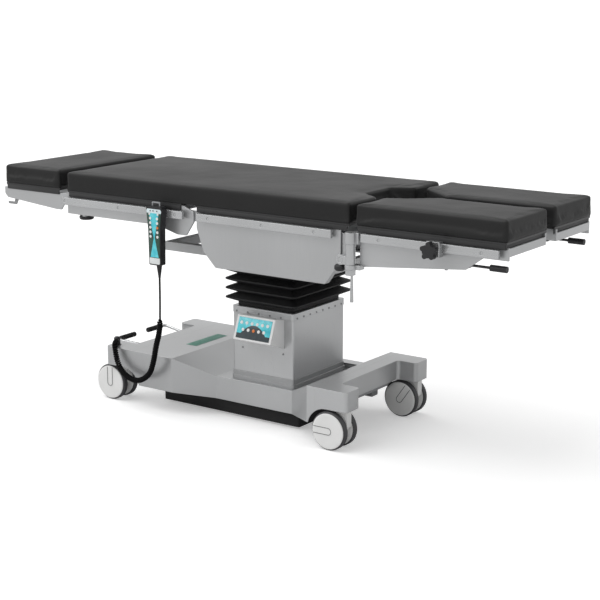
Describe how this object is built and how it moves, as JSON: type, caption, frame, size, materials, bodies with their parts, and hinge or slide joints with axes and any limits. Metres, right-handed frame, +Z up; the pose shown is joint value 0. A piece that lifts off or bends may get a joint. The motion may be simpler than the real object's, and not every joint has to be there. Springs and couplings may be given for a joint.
{
  "type": "operating table",
  "caption": "Operating table on castors: steel base, lift column with bellows and console, tilting top of hinged black padded head, back, seat and split leg sections, hand control",
  "frame": {"origin": "on the floor, under the middle of the table top's length and width", "axes": "+X along the table from the head end to the leg ends, +Y across it, away from the hand control's side, +Z up"},
  "size_m": [2.006, 0.6314, 0.795],
  "materials": {
    "steel": "brushed stainless steel sheet and bar",
    "cover_steel": "satin stainless steel sheet covers",
    "rail_steel": "fine brushed stainless accessory rails",
    "cast_frame": "grey painted steel frame",
    "bright_steel": "bright plated steel",
    "black_trim": "matt black plastic",
    "tray_black": "matt black under tray",
    "white_plastic": "satin white plastic",
    "tyre_grey": "dark grey polyurethane treads with white disc covers",
    "membrane": "printed membrane panel in cyan and dark green",
    "bellows_rubber": "matt black pleated rubber",
    "pad_vinyl": "black sheen covering over foam",
    "board": "dark laminate board",
    "cord_rubber": "black cord sheath",
    "grip_rubber": "black rubber grip",
    "grey_plastic": "grey plastic lever"
  },
  "bodies": {
    "base": {"base_cover": "cover_steel", "base_chassis": "cast_frame", "base_tray": "tray_black", "column_cover": "cover_steel", "column_foot_trim": "tray_black", "column_screws": "bright_steel", "console_housing": "cover_steel", "console_panel": "membrane", "cord_socket": "black_trim", "cord": "cord_rubber", "cord_coil": "cord_rubber", "bellows": "bellows_rubber"},
    "pedal_near": {"brake_arm_near": "bright_steel", "brake_grip_near": "grip_rubber"},
    "pedal_far": {"brake_arm_far": "bright_steel", "brake_grip_far": "grip_rubber"},
    "lift": {"lift_column": "cast_frame"},
    "tilt": {"tilt_cross": "cast_frame"},
    "carriage": {"carriage_frame": "cast_frame"},
    "seat": {"seat_frame": "cast_frame", "seat_covers": "cover_steel", "seat_rails": "rail_steel", "seat_board": "board", "seat_pad": "pad_vinyl", "pad_fold": "pad_vinyl"},
    "back": {"back_frame": "steel", "back_rails": "rail_steel", "back_board": "board", "back_pad": "pad_vinyl"},
    "head": {"head_frame": "steel", "head_board": "board", "head_pad": "pad_vinyl"},
    "head_lever": {"head_lever": "grey_plastic"},
    "back_knob": {"back_knob": "black_trim"},
    "rail_clamp": {"rail_clamp": "steel"},
    "clamp_knob": {"clamp_knob": "black_trim"},
    "pendant": {"pendant_case": "black_trim", "pendant_keypad": "membrane"},
    "castor_1": {"castor_housing_1": "white_plastic"},
    "wheels_1": {"castor_wheels_1": "tyre_grey"},
    "castor_2": {"castor_housing_2": "white_plastic"},
    "wheels_2": {"castor_wheels_2": "tyre_grey"},
    "castor_3": {"castor_housing_3": "white_plastic"},
    "wheels_3": {"castor_wheels_3": "tyre_grey"},
    "castor_4": {"castor_housing_4": "white_plastic"},
    "wheels_4": {"castor_wheels_4": "tyre_grey"},
    "yoke_near": {"leg_yoke_near": "steel"},
    "leg_near": {"leg_frame_near": "steel", "leg_rail_near": "rail_steel", "leg_pad_near": "pad_vinyl"},
    "leg_lock_near": {"leg_lock_near": "steel"},
    "leg_knob_near": {"leg_knob_near": "black_trim"},
    "leg_lever_near": {"leg_lever_near": "black_trim"},
    "yoke_far": {"leg_yoke_far": "steel"},
    "leg_far": {"leg_frame_far": "steel", "leg_rail_far": "rail_steel", "leg_pad_far": "pad_vinyl"},
    "leg_lock_far": {"leg_lock_far": "steel"},
    "leg_knob_far": {"leg_knob_far": "black_trim"},
    "leg_lever_far": {"leg_lever_far": "black_trim"}
  },
  "joints": [
    {"name": "brake_pedal_near", "type": "hinge", "parent": "base", "child": "pedal_near", "pos_m": [-0.494, -0.11, 0.178], "axis": [0, 1, 0], "range_deg": [-10, 10]},
    {"name": "brake_pedal_far", "type": "hinge", "parent": "base", "child": "pedal_far", "pos_m": [-0.494, 0.11, 0.178], "axis": [0, 1, 0], "range_deg": [-10, 10]},
    {"name": "castor_swivel_1", "type": "hinge", "parent": "base", "child": "castor_1", "pos_m": [-0.518, -0.188, 0.11], "axis": [0, 0, 1], "continuous": true},
    {"name": "wheel_spin_1", "type": "hinge", "parent": "castor_1", "child": "wheels_1", "pos_m": [-0.55, -0.188, 0.0625], "axis": [0, 1, 0], "continuous": true},
    {"name": "castor_swivel_2", "type": "hinge", "parent": "base", "child": "castor_2", "pos_m": [-0.518, 0.188, 0.11], "axis": [0, 0, 1], "continuous": true},
    {"name": "wheel_spin_2", "type": "hinge", "parent": "castor_2", "child": "wheels_2", "pos_m": [-0.55, 0.188, 0.0625], "axis": [0, 1, 0], "continuous": true},
    {"name": "castor_swivel_3", "type": "hinge", "parent": "base", "child": "castor_3", "pos_m": [0.415, -0.216, 0.11], "axis": [0, 0, 1], "continuous": true},
    {"name": "wheel_spin_3", "type": "hinge", "parent": "castor_3", "child": "wheels_3", "pos_m": [0.383, -0.216, 0.0625], "axis": [0, 1, 0], "continuous": true},
    {"name": "castor_swivel_4", "type": "hinge", "parent": "base", "child": "castor_4", "pos_m": [0.415, 0.216, 0.11], "axis": [0, 0, 1], "continuous": true},
    {"name": "wheel_spin_4", "type": "hinge", "parent": "castor_4", "child": "wheels_4", "pos_m": [0.383, 0.216, 0.0625], "axis": [0, 1, 0], "continuous": true},
    {"name": "lift_height", "type": "slide", "parent": "base", "child": "lift", "axis": [0, 0, 1], "range_m": [-0.06, 0.18], "deforming": ["bellows", "cord", "cord_coil"]},
    {"name": "lateral_tilt", "type": "hinge", "parent": "lift", "child": "tilt", "pos_m": [0.054, 0, 0.612], "axis": [1, 0, 0], "range_deg": [-15, 15]},
    {"name": "end_tilt", "type": "hinge", "parent": "tilt", "child": "carriage", "pos_m": [0.054, 0, 0.612], "axis": [0, -1, 0], "range_deg": [-20, 20]},
    {"name": "top_slide", "type": "slide", "parent": "carriage", "child": "seat", "axis": [1, 0, 0], "range_m": [-0.2, 0.1]},
    {"name": "back_hinge", "type": "hinge", "parent": "seat", "child": "back", "pos_m": [-0.15, 0, 0.692], "axis": [0, 1, 0], "range_deg": [-15, 75], "deforming": ["pad_fold"]},
    {"name": "head_hinge", "type": "hinge", "parent": "back", "child": "head", "pos_m": [-0.7085, 0, 0.705], "axis": [0, 1, 0], "range_deg": [-90, 25]},
    {"name": "head_lever_turn", "type": "hinge", "parent": "head", "child": "head_lever", "pos_m": [-0.952, -0.241, 0.684], "axis": [0, 1, 0], "range_deg": [-10, 10]},
    {"name": "back_knob_spin", "type": "hinge", "parent": "back", "child": "back_knob", "pos_m": [-0.64, -0.224, 0.64], "axis": [0, 0, 1], "continuous": true},
    {"name": "leg_drop_near", "type": "hinge", "parent": "seat", "child": "yoke_near", "pos_m": [0.454, -0.287, 0.624], "axis": [0, 1, 0], "range_deg": [-6, 90]},
    {"name": "leg_splay_near", "type": "hinge", "parent": "yoke_near", "child": "leg_near", "pos_m": [0.484, -0.287, 0.65], "axis": [0, 0, -1], "range_deg": [0, 90]},
    {"name": "leg_lock_turn_near", "type": "hinge", "parent": "leg_near", "child": "leg_lock_near", "pos_m": [0.484, -0.287, 0.59], "axis": [0, 0, 1], "range_deg": [-45, 45]},
    {"name": "leg_lever_lift_near", "type": "hinge", "parent": "leg_near", "child": "leg_lever_near", "pos_m": [0.866, -0.256, 0.65], "axis": [0, -1, 0], "range_deg": [0, 8], "stiffness_Nm_per_rad": 6, "springref_deg": -5.73},
    {"name": "leg_knob_spin_near", "type": "hinge", "parent": "yoke_near", "child": "leg_knob_near", "pos_m": [0.446, -0.287, 0.598], "axis": [0, 0, 1], "continuous": true},
    {"name": "leg_drop_far", "type": "hinge", "parent": "seat", "child": "yoke_far", "pos_m": [0.454, 0.287, 0.624], "axis": [0, 1, 0], "range_deg": [-6, 90]},
    {"name": "leg_splay_far", "type": "hinge", "parent": "yoke_far", "child": "leg_far", "pos_m": [0.484, 0.287, 0.65], "axis": [0, 0, 1], "range_deg": [0, 90]},
    {"name": "leg_lock_turn_far", "type": "hinge", "parent": "leg_far", "child": "leg_lock_far", "pos_m": [0.484, 0.287, 0.59], "axis": [0, 0, 1], "range_deg": [-45, 45]},
    {"name": "leg_lever_lift_far", "type": "hinge", "parent": "leg_far", "child": "leg_lever_far", "pos_m": [0.866, 0.256, 0.65], "axis": [0, -1, 0], "range_deg": [0, 8], "stiffness_Nm_per_rad": 6, "springref_deg": -5.73},
    {"name": "leg_knob_spin_far", "type": "hinge", "parent": "yoke_far", "child": "leg_knob_far", "pos_m": [0.446, 0.287, 0.598], "axis": [0, 0, 1], "continuous": true},
    {"name": "clamp_slide", "type": "slide", "parent": "leg_near", "child": "rail_clamp", "axis": [1, 0, 0], "range_m": [-0.13, 0.09]},
    {"name": "clamp_knob_spin", "type": "hinge", "parent": "rail_clamp", "child": "clamp_knob", "pos_m": [0.77, -0.32, 0.68925], "axis": [0, 1, 0], "continuous": true},
    {"name": "pendant_lift_off", "type": "slide", "parent": "back", "child": "pendant", "axis": [0, 0, 1], "range_m": [0, 0.05]}
  ]
}
